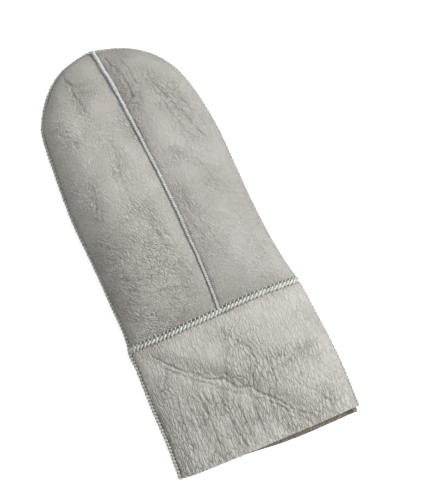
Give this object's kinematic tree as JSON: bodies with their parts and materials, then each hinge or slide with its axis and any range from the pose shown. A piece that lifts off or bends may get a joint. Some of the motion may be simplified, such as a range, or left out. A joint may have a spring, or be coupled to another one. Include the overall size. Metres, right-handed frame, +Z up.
{
  "type": "leather mitten",
  "caption": "Left-hand leather mitten with whip-stitched seams, a folded thumb and a long turned-down cuff, lying with its back up.",
  "frame": {"origin": "middle of the underside of the whole mitten, on the surface that it lies on", "axes": "+Y towards the fingertips, +X towards the thumb and index-finger side, +Z up out of the back of the hand"},
  "size_m": [0.1368, 0.3024, 0.0456],
  "materials": {
    "hand_leather": "satin warm grey leather with fine pebble grain and soft wrinkles",
    "palm_leather": "satin warm grey leather with fine pebble grain and soft wrinkles",
    "cuff_leather": "satin warm grey leather with long soft creases",
    "whipstitch": "pale grey thread whip-stitched over a raised leather edge"
  },
  "bodies": {
    "root": {"back_panel_outer": "hand_leather", "back_panel_index": "hand_leather", "palm_tip_panel": "palm_leather", "palm_panel": "palm_leather", "thumb_panel": "palm_leather", "cuff_back": "cuff_leather", "cuff_palm": "cuff_leather", "cuff_seam": "whipstitch", "side_seam": "whipstitch", "centre_back_seam": "whipstitch", "palm_seam": "whipstitch", "thumb_seam": "whipstitch"}
  },
  "joints": []
}
